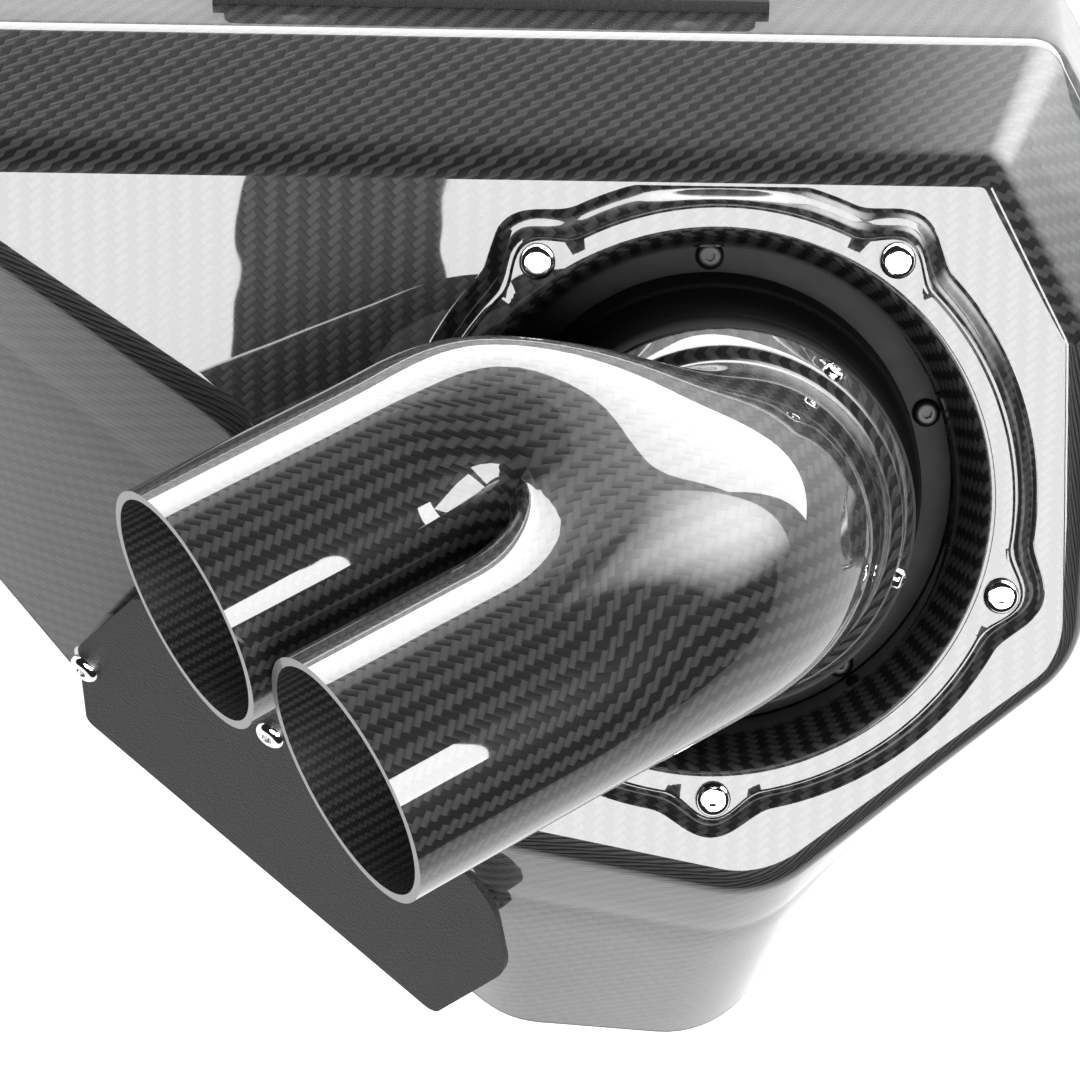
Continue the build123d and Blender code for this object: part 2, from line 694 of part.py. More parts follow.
def retaining_spring(side):
    """Coil spring with a ring at each end, hung in its tab and lying along the pipe."""
    hole_y = inlet_y + side * (inlet_outer + hook_reach)
    hung = Vector(hook_x + spring_ring_radius, hole_y, inlet_height)
    coil_start = hung.X + spring_ring_radius + spring_wire / 2
    coil_end = coil_start + spring_coil_length
    with BuildPart() as spring:
        with Locations(Plane(origin=(coil_start, hole_y, inlet_height), z_dir=(1, 0, 0))):
            Cylinder(spring_coil_radius, spring_coil_length,
                     align=(Align.CENTER, Align.CENTER, Align.MIN))
        with Locations(Plane(origin=(coil_start + spring_cap, hole_y, inlet_height), z_dir=(1, 0, 0))):
            Cylinder(spring_coil_radius - 2 * spring_wire, spring_coil_length - 2 * spring_cap,
                     align=(Align.CENTER, Align.CENTER, Align.MIN), mode=Mode.SUBTRACT)
        far_ring_x = coil_end + spring_ring_radius + spring_wire / 2
        for ring_x in (hung.X, far_ring_x):
            with Locations(Plane(origin=(ring_x, hole_y, inlet_height), z_dir=(0, 1, 0))):
                Torus(spring_ring_radius, spring_wire)
    return spring.part


with BuildPart() as hook_tab_left:
    add(hook_tab(1))
hook_tab_left.part.label = "hook_tab_left"
export_step(hook_tab_left.part, "parts/hook_tab_left.step")

with BuildPart() as hook_tab_right:
    add(hook_tab(-1))
hook_tab_right.part.label = "hook_tab_right"
export_step(hook_tab_right.part, "parts/hook_tab_right.step")

with BuildPart() as spring_left:
    add(retaining_spring(1))
spring_left.part.label = "spring_left"
export_step(spring_left.part, "parts/spring_left.step")

with BuildPart() as spring_right:
    add(retaining_spring(-1))
spring_right.part.label = "spring_right"
export_step(spring_right.part, "parts/spring_right.step")

# Mounting bracket: a bent strap whose leg lies on the back wall and whose foot holds two grommets


def wall_y(height):
    return body_back - back_slope * height


ear_top_z = bracket_foot_z + bracket_thickness
ear_y = wall_y(bracket_foot_z) + bracket_thickness + grommet_radius + 3.0
ear_xs = [bracket_x - grommet_spacing / 2, bracket_x + grommet_spacing / 2]
leg_top_z = bracket_foot_z + bracket_leg
bracket_profile = [
    (wall_y(bracket_foot_z), bracket_foot_z), (wall_y(bracket_foot_z) + bracket_reach, bracket_foot_z),
    (wall_y(bracket_foot_z) + bracket_reach, ear_top_z), (wall_y(ear_top_z) + bracket_thickness, ear_top_z),
    (wall_y(leg_top_z) + bracket_thickness, leg_top_z), (wall_y(leg_top_z), leg_top_z),
]
with BuildPart() as mount_bracket:
    with BuildSketch(Plane(origin=(bracket_x, 0, 0), x_dir=(0, 1, 0), z_dir=(1, 0, 0))):
        with BuildLine():
            Polyline(*bracket_profile, close=True)
        make_face()
    extrude(amount=bracket_length / 2, both=True)
    ear_edges = mount_bracket.edges().filter_by(Axis.Z).group_by(Axis.Y)[-1]
    fillet(ear_edges, bracket_reach * 0.4)
    with Locations(*[(x, ear_y, ear_top_z) for x in ear_xs]):
        Cylinder(grommet_radius - grommet_groove, 20, mode=Mode.SUBTRACT)
    with Locations(*[bracket_plane * Location((x, 0, 0)) for x in bracket_screw_xs]):
        Cylinder(bracket_screw_radius + 0.1, 12, mode=Mode.SUBTRACT)
mount_bracket.part.label = "mount_bracket"
export_step(mount_bracket.part, "parts/mount_bracket.step")

m6_button = button_screw(bracket_head_radius, bracket_head_height, bracket_screw_radius,
                         bracket_screw_length, bracket_screw_socket)
with BuildPart() as bracket_screws:
    with Locations(*[bracket_plane * Location((x, 0, 0)) for x in bracket_screw_xs]):
        add(m6_button)
bracket_screws.part.label = "bracket_screws"
export_step(bracket_screws.part, "parts/bracket_screws.step")

# The nuts sit flat on the inside of the wall
wall_depth = (bracket_thickness + side_inset) * back_normal.Y
with BuildPart() as bracket_nuts:
    with Locations(*[bracket_plane * Location((x, 0, -wall_depth)) for x in bracket_screw_xs]):
        with BuildPart(mode=Mode.PRIVATE) as nut:
            with BuildSketch():
                RegularPolygon(bracket_nut_size, 6, major_radius=False)
            extrude(amount=-bracket_nut_size)
            Cylinder(bracket_screw_radius + 0.05, 20, mode=Mode.SUBTRACT)
        add(nut.part)
bracket_nuts.part.label = "bracket_nuts"
export_step(bracket_nuts.part, "parts/bracket_nuts.step")

grommet_middle = bracket_foot_z + bracket_thickness / 2
half = grommet_height / 2
slot = bracket_thickness / 2
grommet_body = turned([
    (sleeve_radius, -half), (grommet_radius - 1.5, -half), (grommet_radius, -half + 1.5),
    (grommet_radius, -slot), (grommet_radius - grommet_groove, -slot),
    (grommet_radius - grommet_groove, slot), (grommet_radius, slot),
    (grommet_radius, half - 1.5), (grommet_radius - 1.5, half), (sleeve_radius, half)])
sleeve_body = turned([
    (sleeve_bore_radius, -half - 1), (sleeve_radius, -half - 1), (sleeve_radius, half + 1),
    (sleeve_bore_radius, half + 1)])
with BuildPart() as mount_grommets:
    with Locations(*[(x, ear_y, grommet_middle) for x in ear_xs]):
        add(grommet_body)
mount_grommets.part.label = "mount_grommets"
export_step(mount_grommets.part, "parts/mount_grommets.step")

with BuildPart() as mount_sleeves:
    with Locations(*[(x, ear_y, grommet_middle) for x in ear_xs]):
        add(sleeve_body)
mount_sleeves.part.label = "mount_sleeves"
export_step(mount_sleeves.part, "parts/mount_sleeves.step")

# Heat shield plate, its standoffs trimmed to the wall, and its screws
shield_rise = radians(shield_slope)
shield_out = Vector(shield_run.Y * sin(shield_rise), -shield_run.X * sin(shield_rise), cos(shield_rise))
shield_plane = Plane(origin=shield_origin, x_dir=shield_run, z_dir=shield_out)
with BuildPart() as heat_shield:
    with BuildSketch(shield_plane):
        with BuildLine():
            FilletPolyline(*shield_corners, radius=shield_radii, close=True)
        make_face()
        with Locations(*shield_holes):
            Circle(m5_hole, mode=Mode.SUBTRACT)
    extrude(amount=-shield_thickness)
heat_shield.part.label = "heat_shield"
export_step(heat_shield.part, "parts/heat_shield.step")

with BuildPart() as shield_standoffs:
    with Locations(shield_plane.offset(-shield_thickness)):
        with Locations(*shield_holes):
            Cylinder(standoff_radius, standoff_length, align=(Align.CENTER, Align.CENTER, Align.MAX))
    add(hull_outer, mode=Mode.SUBTRACT)
    with Locations(shield_plane):
        with Locations(*shield_holes):
            Cylinder(m5_size[2] + 0.05, m5_size[3] + 1.0,
                     align=(Align.CENTER, Align.CENTER, Align.MAX), mode=Mode.SUBTRACT)
shield_standoffs.part.label = "shield_standoffs"
export_step(shield_standoffs.part, "parts/shield_standoffs.step")

with BuildPart() as shield_screws:
    with Locations(shield_plane):
        with Locations(*shield_holes):
            add(m5_button)
shield_screws.part.label = "shield_screws"
export_step(shield_screws.part, "parts/shield_screws.step")
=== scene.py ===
from math import atan2, cos, pi, radians, sin, sqrt, tan

import bmesh
import bpy
from mathutils import Matrix, Vector


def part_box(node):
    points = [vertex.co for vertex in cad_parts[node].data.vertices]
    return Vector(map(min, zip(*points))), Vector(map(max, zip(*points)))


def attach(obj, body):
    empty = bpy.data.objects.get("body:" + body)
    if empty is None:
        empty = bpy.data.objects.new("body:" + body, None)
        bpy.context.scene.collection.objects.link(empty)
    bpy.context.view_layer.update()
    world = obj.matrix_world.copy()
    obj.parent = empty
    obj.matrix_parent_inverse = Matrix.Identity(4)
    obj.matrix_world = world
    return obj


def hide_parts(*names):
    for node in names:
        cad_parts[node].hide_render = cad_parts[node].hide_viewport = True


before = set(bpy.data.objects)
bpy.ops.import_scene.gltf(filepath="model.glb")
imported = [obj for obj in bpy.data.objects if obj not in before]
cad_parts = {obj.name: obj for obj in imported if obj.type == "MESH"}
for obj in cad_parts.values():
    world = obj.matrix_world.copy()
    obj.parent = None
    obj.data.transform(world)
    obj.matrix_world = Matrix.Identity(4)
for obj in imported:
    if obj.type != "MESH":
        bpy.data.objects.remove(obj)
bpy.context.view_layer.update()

mm = 0.001
print("frame loaded,", len(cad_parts), "CAD nodes")


def linkPiece(name, mesh, body, materials, nodes=()):
    piece = bpy.data.objects.new(name, mesh)
    bpy.context.scene.collection.objects.link(piece)
    for material in materials:
        piece.data.materials.append(material)
    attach(piece, body)
    if nodes:
        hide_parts(*nodes)
    return piece


def settle(piece, sharpAngle):
    # bakes the modifiers down to one mesh, smooth but for its hard edges
    graph = bpy.context.evaluated_depsgraph_get()
    mesh = bpy.data.meshes.new_from_object(piece.evaluated_get(graph))
    piece.modifiers.clear()
    piece.data = mesh
    markSharp(mesh, sharpAngle)


def markSharp(mesh, sharpAngle):
    work = bmesh.new()
    work.from_mesh(mesh)
    limit = radians(sharpAngle)
    for face in work.faces:
        face.smooth = True
    for edge in work.edges:
        edge.smooth = edge.smooth and len(edge.link_faces) == 2 and edge.calc_face_angle(0) < limit
    work.to_mesh(mesh)
    work.free()


def asMesh(work, name, sharpAngle=None):
    mesh = bpy.data.meshes.new(name)
    work.to_mesh(mesh)
    work.free()
    if sharpAngle:
        markSharp(mesh, sharpAngle)
    return mesh


def ease(share):
    share = max(0.0, min(1.0, share))
    return share * share * (3 - 2 * share)


def mix(low, high, share):
    return low + (high - low) * share


class Shader:
    # thin wrapper, so that a material reads as a list of steps
    def __init__(self, name):
        self.material = bpy.data.materials.new(name)
        self.material.use_nodes = True
        self.tree = self.material.node_tree
        self.skin = self.tree.nodes["Principled BSDF"]

    def add(self, kind, **values):
        node = self.tree.nodes.new(kind)
        for key, value in values.items():
            setattr(node, key, value)
        return node

    def join(self, output, socket):
        self.tree.links.new(output, socket)

    def sum(self, operation, first, second=None, third=None, clamp=False):
        node = self.add("ShaderNodeMath", operation=operation, use_clamp=clamp)
        for slot, value in enumerate((first, second, third)):
            if isinstance(value, (int, float)):
                node.inputs[slot].default_value = value
            elif value is not None:
                self.join(value, node.inputs[slot])
        return node.outputs[0]

    def blend(self, share, first, second):
        node = self.add("ShaderNodeMix", data_type="RGBA")
        for slot, value in ((0, share), (6, first), (7, second)):
            if isinstance(value, (int, float)):
                node.inputs[slot].default_value = value
            elif isinstance(value, tuple):
                node.inputs[slot].default_value = (*value, 1.0)
            else:
                self.join(value, node.inputs[slot])
        return node.outputs[2]

    def choose(self, share, first, second):
        # as blend, but for numbers
        node = self.add("ShaderNodeMix", data_type="FLOAT")
        for slot, value in ((0, share), (2, first), (3, second)):
            self.join(value, node.inputs[slot])
        return node.outputs[0]

    def noise(self, where, scale, detail=3.0, rough=0.5):
        node = self.add("ShaderNodeTexNoise")
        node.inputs["Scale"].default_value = scale
        node.inputs["Detail"].default_value = detail
        node.inputs["Roughness"].default_value = rough
        self.join(where, node.inputs["Vector"])
        return node.outputs["Fac"]

    def bump(self, height, depth, strength):
        node = self.add("ShaderNodeBump")
        node.inputs["Strength"].default_value = strength
        node.inputs["Distance"].default_value = depth
        self.join(height, node.inputs["Height"])
        return node.outputs["Normal"]

    def set(self, **values):
        names = {"base": "Base Color", "metal": "Metallic", "rough": "Roughness", "coat": "Coat Weight",
                 "coatRough": "Coat Roughness", "specular": "Specular IOR Level", "normal": "Normal",
                 "coatNormal": "Coat Normal", "sheen": "Sheen Weight"}
        for key, value in values.items():
            socket = self.skin.inputs[names[key]]
            if isinstance(value, tuple):
                socket.default_value = (*value, 1.0)
            elif isinstance(value, (int, float)):
                socket.default_value = value
            else:
                self.join(value, socket)


def flatPlaces(shader, unwrapped):
    # the two lengths that the weave runs along: laid out, or taken square on to the nearest axis
    if unwrapped:
        laid = shader.add("ShaderNodeUVMap", uv_map="cloth")
        split = shader.add("ShaderNodeSeparateXYZ")
        shader.join(laid.outputs[0], split.inputs[0])
        return split.outputs[0], split.outputs[1]
    coords = shader.add("ShaderNodeTexCoord")
    place = shader.add("ShaderNodeSeparateXYZ")
    shader.join(coords.outputs["Object"], place.inputs[0])
    facing = shader.add("ShaderNodeSeparateXYZ")
    shader.join(coords.outputs["Normal"], facing.inputs[0])
    sizes = [shader.sum("ABSOLUTE", facing.outputs[axis]) for axis in range(3)]
    isUp = shader.sum("GREATER_THAN", sizes[2], shader.sum("MAXIMUM", sizes[0], sizes[1]))
    isAcross = shader.sum("GREATER_THAN", sizes[0], sizes[1])
    x, y, z = place.outputs
    return shader.choose(isUp, shader.choose(isAcross, x, y), x), shader.choose(isUp, z, y)


twillLook = {
    "tow": 0.00195,          # width of one tow
    "repeat": 4.0,           # tows in one repeat, two over and two under
    "crown": 0.55,           # how full a tow's round back is
    "fibres": 9,             # lines along one tow
    # painted sheen: the weft tows get a lighter grey than the warp tows, standing in for the brighter light
    # that one fibre direction reflects
    "warp": (0.0035, 0.0035, 0.0038),
    "weft": (0.020, 0.020, 0.0215),
    "gap": (0.002, 0.002, 0.002),
    "unevenScale": 420.0,
    "under": 0.00010,        # depth of the tows under the lacquer
    "flow": 0.0004,          # height of the long waves in the lacquer
    "flowScale": 26.0,
    "coatRough": 0.018,
    "rough": 0.42,
    "specular": 0.12,
}


def makeTwill(name, unwrapped, **changes):
    look = {**twillLook, **changes}
    shader = Shader(name)
    run, rise = flatPlaces(shader, unwrapped)
    half = sqrt(0.5) / look["tow"]
    across = shader.sum("MULTIPLY", shader.sum("ADD", run, rise), half)      # tows lie at 45 degrees
    along = shader.sum("MULTIPLY", shader.sum("SUBTRACT", run, rise), half)
    column = shader.sum("FLOOR", across)
    row = shader.sum("FLOOR", along)
    step = shader.sum("FLOORED_MODULO", shader.sum("ADD", column, row), look["repeat"])
    warpOnTop = shader.sum("LESS_THAN", step, look["repeat"] / 2 - 0.5)
    # every tow is a low round ridge
    ridges = []
    for place in (across, along):
        arch = shader.sum("SINE", shader.sum("MULTIPLY", shader.sum("FRACT", place), pi))
        ridges.append(shader.sum("POWER", arch, look["crown"]))
    height = shader.choose(warpOnTop, ridges[1], ridges[0])
    fibreRun = shader.choose(warpOnTop, along, across)
    fibres = shader.sum("SINE", shader.sum("MULTIPLY", fibreRun, 2 * pi * look["fibres"]))
    coords = shader.add("ShaderNodeTexCoord").outputs["Object"]
    uneven = shader.noise(coords, look["unevenScale"], 2.0)
    # painted sheen: the tows of one direction are coloured lighter than the other, as if they caught more
    # light
    tone = shader.blend(warpOnTop, look["weft"], look["warp"])
    # dark between the tows, faint along their fibres, uneven from place to place
    shade = shader.sum("MULTIPLY_ADD", height, 0.75, 0.25)
    shade = shader.sum("MULTIPLY", shade, shader.sum("MULTIPLY_ADD", fibres, 0.10, 0.90))
    shade = shader.sum("MULTIPLY", shade, shader.sum("MULTIPLY_ADD", uneven, 0.7, 0.65))
    colour = shader.blend(shade, look["gap"], tone)
    waves = shader.noise(coords, look["flowScale"], 1.5)
    shader.set(base=colour, rough=look["rough"], specular=look["specular"], coat=1.0,
               coatRough=look["coatRough"], normal=shader.bump(height, look["under"], 0.6),
               coatNormal=shader.bump(waves, look["flow"], 0.5))
    return shader.material


def stretched(shader, coords, scale):
    node = shader.add("ShaderNodeMapping")
    node.inputs["Scale"].default_value = scale
    shader.join(coords, node.inputs["Vector"])
    return node.outputs[0]


def makeSteel(name, colour, rough, scratch, coarse=900.0, bumpDepth=0.00003):
    shader = Shader(name)
    coords = shader.add("ShaderNodeTexCoord").outputs["Object"]
    grain = shader.noise(stretched(shader, coords, (1.0, 1.0, 14.0)), coarse, 5.0, 0.6)
    cloud = shader.noise(coords, 45.0, 3.0)
    tone = shader.blend(shader.sum("MULTIPLY", cloud, 0.5), colour, tuple(c * 0.72 for c in colour))
    roughness = shader.sum("MULTIPLY_ADD", grain, scratch, rough, clamp=True)
    shader.set(base=tone, metal=1.0, rough=roughness, normal=shader.bump(grain, bumpDepth, 0.6))
    return shader.material


def makeDull(name, colour, rough, size, depth, variation=0.35, sheen=0.0, coat=0.0, specular=0.5):
    shader = Shader(name)
    coords = shader.add("ShaderNodeTexCoord").outputs["Object"]
    speck = shader.noise(coords, size, 4.0, 0.65)
    cloud = shader.noise(coords, size * 0.05, 3.0)
    paler = tuple(min(1.0, c * 2.2 + 0.01) for c in colour)
    darker = tuple(c * 0.6 for c in colour)
    tone = shader.blend(shader.sum("MULTIPLY", speck, variation), colour, paler)
    tone = shader.blend(shader.sum("MULTIPLY", cloud, variation * 0.5), tone, darker)
    roughness = shader.sum("MULTIPLY_ADD", speck, 0.18, rough - 0.09, clamp=True)
    shader.set(base=tone, rough=roughness, normal=shader.bump(speck, depth, 0.8), sheen=sheen, coat=coat,
               specular=specular)
    return shader.material


def makePowder():
    # fine wrinkled powder coat: small bright grains on black
    shader = Shader("texturedPowderCoat")
    coords = shader.add("ShaderNodeTexCoord").outputs["Object"]
    grains = shader.add("ShaderNodeTexVoronoi")
    grains.inputs["Scale"].default_value = 1150.0
    shader.join(coords, grains.inputs["Vector"])
    speck = shader.noise(coords, 1700.0, 3.0, 0.6)
    height = shader.sum("ADD", shader.sum("MULTIPLY", grains.outputs["Distance"], -1.0), speck)
    tone = shader.blend(shader.sum("MULTIPLY", speck, 0.9), (0.002, 0.002, 0.002), (0.017, 0.017, 0.018))
    shader.set(base=tone, rough=0.55, specular=0.22, normal=shader.bump(height, 0.00028, 0.75))
    return shader.material


def makeWool():
    shader = Shader("glassWool")
    coords = shader.add("ShaderNodeTexCoord").outputs["Object"]
    strands = shader.noise(stretched(shader, coords, (0.25, 1.0, 1.0)), 700.0, 6.0, 0.7)
    tufts = shader.noise(coords, 60.0, 4.0)
    tone = shader.blend(strands, (0.55, 0.48, 0.33), (0.92, 0.89, 0.78))
    tone = shader.blend(shader.sum("MULTIPLY", tufts, 0.4), tone, (0.60, 0.52, 0.36))
    shader.set(base=tone, rough=0.95, sheen=0.3, normal=shader.bump(strands, 0.0012, 1.0))
    return shader.material


carbonLaid = makeTwill("carbonLaid", True)
carbonFlat = makeTwill("carbonFlat", False)
# here too the warp and weft greys differ as painted sheen
carbonInside = makeTwill("carbonInside", True, tow=0.0011, under=0.00004, warp=(0.006, 0.006, 0.006),
                         weft=(0.020, 0.020, 0.020), coatRough=0.22, flow=0.0)
carbonMatt = makeTwill("carbonMatt", False, coatRough=0.28, flow=0.0)
blackMould = makeDull("blackMould", (0.003, 0.003, 0.003), 0.50, 240.0, 0.00002, 0.2, specular=0.12)
cutEdge = makeDull("cutEdge", (0.050, 0.050, 0.050), 0.40, 1500.0, 0.00004, 0.4, coat=0.4)
stainless = makeSteel("stainless", (0.60, 0.59, 0.57), 0.24, 0.16)
polished = makeSteel("polishedSteel", (0.84, 0.84, 0.84), 0.06, 0.06, 400.0, 0.00001)
blackOxide = makeSteel("blackOxide", (0.03, 0.03, 0.032), 0.38, 0.12)
springWire = makeSteel("springWire", (0.66, 0.67, 0.69), 0.20, 0.10)
brass = makeSteel("brass", (0.74, 0.56, 0.26), 0.26, 0.12)
rubber = makeDull("rubber", (0.018, 0.018, 0.018), 0.62, 900.0, 0.00008, 0.3)
gasketSheet = makeDull("gasketSheet", (0.16, 0.16, 0.155), 0.72, 1400.0, 0.0001, 0.6)
powderCoat = makePowder()
glassWool = makeWool()
print("materials made")


muffler = "muffler"
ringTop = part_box("outlet_ring")[1][2]
shellFoot, padTop = (corner[2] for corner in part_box("body_shell"))

shell = {
    "face": 110 * mm,
    "shoulder": 80 * mm,
    "rounding": 5 * mm,
    "wall": 2.6 * mm,
    "base": [(150, 52), (98, 138), (-210, 138), (-250, 102), (-240, -3), (-176, -82), (-50, -182), (11, -186),
             (130, -16)],
    "baseRadii": [20, 16, 24, 26, 40, 40, 30, 30, 30],
    "top": [(94.5, 44), (71, 88), (-198, 88), (-224, 76), (-188, 62), (-126, 20), (-62, -92), (17, -108),
            (98, -44)],
    "topRadii": [8, 7, 12, 8, 20, 40, 25, 30, 25],
    "mid": [(130, 50), (90, 120), (-206, 120), (-238, 94)],
    "midRadii": [14, 12, 18, 16],
    "arcSteps": 9,
    "edgeSteps": 8,
    "padSlope": 7 * mm,
    "holeRadius": 75 * mm,
}
lobes = {
    "radius": 78.5 * mm,
    "reach": 6.5 * mm,       # how far a lobe stands out of the ring
    "spread": 9.5,           # degrees either side of its screw
    "phase": 55.0,
    "count": 5,
    "steps": 360,
}


def roundedOutline(corners, radii, inset=0.0):
    # evenly numbered points round a filleted outline, so that outlines can be joined level by level
    count = len(corners)
    spots = [Vector(c) * mm for c in corners]
    fans = []
    for i in range(count):
        before = (spots[i - 1] - spots[i]).normalized()
        after = (spots[(i + 1) % count] - spots[i]).normalized()
        turn = before.angle(after)
        radius = radii[i] * mm
        reach = radius / tan(turn / 2)
        centre = spots[i] + (before + after).normalized() * (radius / sin(turn / 2))
        first = spots[i] + before * reach - centre
        last = spots[i] + after * reach - centre
        convex = before.cross(after) < 0
        grown = max(0.3 * mm, radius - inset) if convex else radius + inset
        sweep = first.angle_signed(last)
        fan = []
        for step in range(shell["arcSteps"] + 1):
            spin = -sweep * step / shell["arcSteps"]
            arm = (first.x * cos(spin) - first.y * sin(spin), first.x * sin(spin) + first.y * cos(spin))
            fan.append(centre + Vector(arm) * (grown / radius))
        fans.append(fan)
    points = []
    for i, fan in enumerate(fans):
        points += fan
        start, end = fan[-1], fans[(i + 1) % count][0]
        points += [start.lerp(end, k / shell["edgeSteps"]) for k in range(1, shell["edgeSteps"])]
    return points


def between(low, high, share):
    return [mix(a, b, share) for a, b in zip(low, high)]


def shellLevel(height, inset):
    # the first corners bend at the shoulder, the others run straight from base to top
    bent = len(shell["mid"])
    share = shell["shoulder"] / shell["face"]
    straight = [between(a, b, share) for a, b in zip(shell["base"][bent:], shell["top"][bent:])]
    middle = shell["mid"] + straight
    middleRadii = shell["midRadii"] + between(shell["baseRadii"][bent:], shell["topRadii"][bent:], share)
    if height <= shell["shoulder"]:
        part = height / shell["shoulder"]
        low, high, lowRadii, highRadii = shell["base"], middle, shell["baseRadii"], middleRadii
    else:
        part = (height - shell["shoulder"]) / (shell["face"] - shell["shoulder"])
        low, high, lowRadii, highRadii = middle, shell["top"], middleRadii, shell["topRadii"]
    corners = [between(a, b, part) for a, b in zip(low, high)]
    return roundedOutline(corners, between(lowRadii, highRadii, part), inset)


faceLine = []


def faceReach(turn):
    # how far the flat face runs from the ring's middle, at one bearing
    if not faceLine:
        faceLine.extend(shellLevel(shell["face"], shell["rounding"]))
    ray = Vector((cos(radians(turn)), sin(radians(turn))))
    best = 1.0
    for i, here in enumerate(faceLine):
        side = faceLine[(i + 1) % len(faceLine)] - here
        cross = ray.x * side.y - ray.y * side.x
        if abs(cross) < 1e-12:
            continue
        far = (here.x * side.y - here.y * side.x) / cross
        part = (here.x * ray.y - here.y * ray.x) / cross
        if far > 0 and -1e-6 <= part <= 1 + 1e-6:
            best = min(best, far)
    return best


def lobedRadius(turn, growth):
    bulge = 0.0
    for n in range(lobes["count"]):
        off = (turn - lobes["phase"] - n * 360 / lobes["count"] + 180) % 360 - 180
        spread = lobes["spread"] + growth / mm * 0.25
        if abs(off) < spread:
            bulge = lobes["reach"] * (0.5 + 0.5 * cos(pi * off / spread))
    return lobes["radius"] + growth + bulge


def polarRing(work, radiusAt, heightAt):
    ring = []
    for n in range(lobes["steps"]):
        turn = n * 360 / lobes["steps"]
        radius = radiusAt(turn)
        ring.append(work.verts.new((radius * cos(radians(turn)), radius * sin(radians(turn)), heightAt)))
    return ring


def bridge(work, low, high):
    for i in range(len(low)):
        after = (i + 1) % len(low)
        work.faces.new((low[i], low[after], high[after], high[i]))


def layCloth(work, uvLayer, rings, runs):
    # unrolls a stack of rings: round the ring one way, up the stack the other
    count = len(rings[0])
    places = {}              # the first point of each ring has a second place, where the cloth closes
    for ring, run in zip(rings, runs):
        lengths = [0.0]
        for i in range(count):
            lengths.append(lengths[-1] + (ring[(i + 1) % count].co - ring[i].co).length)
        places.update({(vert, 0): (lengths[i], run) for i, vert in enumerate(ring)})
        places[(ring[0], 1)] = (lengths[-1], run)
    firsts = {ring[0] for ring in rings}
    lasts = {ring[-1] for ring in rings}
    members = {vert for ring in rings for vert in ring}
    for face in work.faces:
        if all(vert in members for vert in face.verts):
            closing = any(vert in lasts for vert in face.verts) and any(vert in firsts for vert in face.verts)
            for loop in face.loops:
                wrap = 1 if closing and loop.vert in firsts else 0
                loop[uvLayer].uv = places[(loop.vert, wrap)]


def stackRuns(rings):
    # how far up the cloth each ring lies, as the mean of every tenth point's path
    runs = [0.0]
    for low, high in zip(rings, rings[1:]):
        pairs = list(zip(low, high))[::10]
        runs.append(runs[-1] + sum((b.co - a.co).length for a, b in pairs) / len(pairs))
    return runs


def makeShell():
    work = bmesh.new()
    uvLayer = work.loops.layers.uv.new("cloth")
    foot, top, rounding, shoulder = shellFoot, shell["face"], shell["rounding"], shell["shoulder"]
    # height and inset of each course: broken foot edge, wall, soft crease, wall, rounded face edge
    levels = [(foot, 0.8 * mm), (foot + 0.8 * mm, 0.0)]
    levels += [(foot + (shoulder - 2 * mm - foot) * n / 6, 0.0) for n in range(1, 7)]
    levels += [(shoulder, 0.25 * mm), (shoulder + 2.5 * mm, 0.0)]
    levels += [(mix(shoulder + 2.5 * mm, top - rounding, n / 3), 0.0) for n in range(1, 4)]
    for turn in range(11, 91, 11):
        levels.append((top - rounding * (1 - sin(radians(turn))), rounding * (1 - cos(radians(turn)))))
    rings = []
    for height, inset in levels:
        rings.append([work.verts.new((p.x, p.y, height)) for p in shellLevel(height, inset)])
    for low, high in zip(rings, rings[1:]):
        bridge(work, low, high)
    layCloth(work, uvLayer, rings, stackRuns(rings))
    flatRing = rings[-1]
    for vert in flatRing:
        vert.co.z = top
    # the raised pad under the outlet ring: a soft slope, the top, and the hole through it
    edgeGap = 0.6 * mm       # least flat left between the pad's foot and the face's edge
    turns = [n * 360 / lobes["steps"] for n in range(lobes["steps"])]
    reach = {turn: faceReach(turn) - edgeGap for turn in turns}

    def padRadius(turn, share):
        footRadius = min(lobedRadius(turn, shell["padSlope"]), reach[turn])
        topRadius = min(lobedRadius(turn, 0.5 * mm), footRadius - 2 * mm)
        return mix(footRadius, topRadius, share)

    pad = []
    courses, hole, chamfer = 12, shell["holeRadius"], 1 * mm
    for n in range(courses + 1):
        share = n / courses
        height = mix(top, padTop, ease(share))
        pad.append(polarRing(work, lambda t: padRadius(t, share), height))
    pad.append(polarRing(work, lambda t: hole + chamfer, padTop))
    pad.append(polarRing(work, lambda t: hole, padTop - chamfer))
    pad.append(polarRing(work, lambda t: hole, top - shell["wall"]))
    for low, high in zip(pad, pad[1:]):
        bridge(work, low, high)
    edges = []
    for ring in (flatRing, pad[0]):
        edges += [work.edges.get((vert, ring[(i + 1) % len(ring)])) for i, vert in enumerate(ring)]
    for edge in edges:
        edge.smooth = False      # keeps the flat face's reflections flat
    made = bmesh.ops.triangle_fill(work, edges=edges, use_beauty=True, use_dissolve=False)
    padVerts = {vert for ring in pad for vert in ring}
    skin = [f for f in made["geom"] if isinstance(f, bmesh.types.BMFace)]
    skin += [f for f in work.faces if all(v in padVerts for v in f.verts)]
    for face in skin:
        for loop in face.loops:
            loop[uvLayer].uv = (loop.vert.co.x, loop.vert.co.y)
    bmesh.ops.recalc_face_normals(work, faces=work.faces)
    mesh = asMesh(work, "bodyShell", 40)
    return linkPiece("bodyShell", mesh, muffler, [carbonLaid], ["body_shell"])


inletBoss = {
    "middle": (8 * mm, 52 * mm),       # across and up
    # place along the boss and radius: bore, broken edge, outside
    "profile": [(94, 33.4), (152, 33.4), (152, 44.2), (151.7, 44.8), (151.1, 45.0), (112, 45.0), (94, 45.0)],
    "clothRadius": 45 * mm,
    "steps": 96,
}


